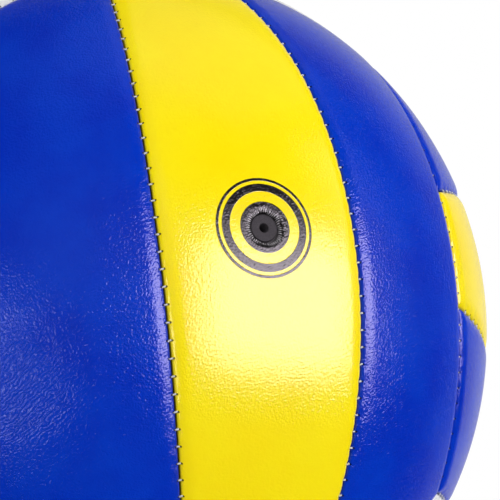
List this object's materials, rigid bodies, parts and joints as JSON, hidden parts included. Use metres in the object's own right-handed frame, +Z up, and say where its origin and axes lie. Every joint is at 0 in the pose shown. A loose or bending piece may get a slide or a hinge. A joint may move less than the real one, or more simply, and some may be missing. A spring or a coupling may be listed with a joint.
{
  "type": "volleyball",
  "caption": "Round inflated ball for volleyball, with a stitched panel cover in three colours over padded backing, a rubber bladder and a needle valve.",
  "frame": {"origin": "centre of the ball", "axes": "+Z up, the valve faces -Y, +X is to the right of someone who looks at the valve; the strips of the front and back faces run along Z, of the left and right faces along Y, of the top and bottom along X"},
  "size_m": [0.21, 0.2098, 0.21],
  "materials": {
    "blue_leather": "blue synthetic leather with a fine pebbled grain and a soft sheen",
    "yellow_leather": "yellow synthetic leather with a fine pebbled grain and a soft sheen",
    "white_leather": "white synthetic leather with a fine pebbled grain and a soft sheen",
    "foam_backing": "foam sheet faced with woven cloth",
    "thread": "waxed pale grey thread",
    "bladder_rubber": "black butyl rubber",
    "patch_cloth": "woven cloth patch",
    "valve_rubber": "black moulded rubber",
    "plug_rubber": "dark grey moulded rubber"
  },
  "bodies": {
    "root": {"top_front_panel": "white_leather", "top_middle_panel": "white_leather", "top_rear_panel": "white_leather", "bottom_rear_panel": "white_leather", "bottom_middle_panel": "white_leather", "bottom_front_panel": "white_leather", "right_lower_panel": "blue_leather", "right_middle_panel": "yellow_leather", "right_upper_panel": "blue_leather", "left_upper_panel": "blue_leather", "left_middle_panel": "yellow_leather", "left_lower_panel": "blue_leather", "back_left_panel": "blue_leather", "back_middle_panel": "yellow_leather", "back_right_panel": "blue_leather", "front_right_panel": "blue_leather", "front_middle_panel": "yellow_leather", "front_left_panel": "blue_leather", "top_front_backing": "foam_backing", "top_middle_backing": "foam_backing", "top_rear_backing": "foam_backing", "bottom_rear_backing": "foam_backing", "bottom_middle_backing": "foam_backing", "bottom_front_backing": "foam_backing", "right_lower_backing": "foam_backing", "right_middle_backing": "foam_backing", "right_upper_backing": "foam_backing", "left_upper_backing": "foam_backing", "left_middle_backing": "foam_backing", "left_lower_backing": "foam_backing", "back_left_backing": "foam_backing", "back_middle_backing": "foam_backing", "back_right_backing": "foam_backing", "front_right_backing": "foam_backing", "front_middle_backing": "foam_backing", "front_left_backing": "foam_backing", "top_face_stitches": "thread", "bottom_face_stitches": "thread", "right_face_stitches": "thread", "left_face_stitches": "thread", "back_face_stitches": "thread", "front_face_stitches": "thread", "top_end_stitches": "thread", "bottom_end_stitches": "thread", "right_end_stitches": "thread", "left_end_stitches": "thread", "back_end_stitches": "thread", "front_end_stitches": "thread", "bladder": "bladder_rubber", "valve_patch": "patch_cloth", "valve_seat": "valve_rubber", "valve_plug": "plug_rubber"}
  },
  "joints": []
}
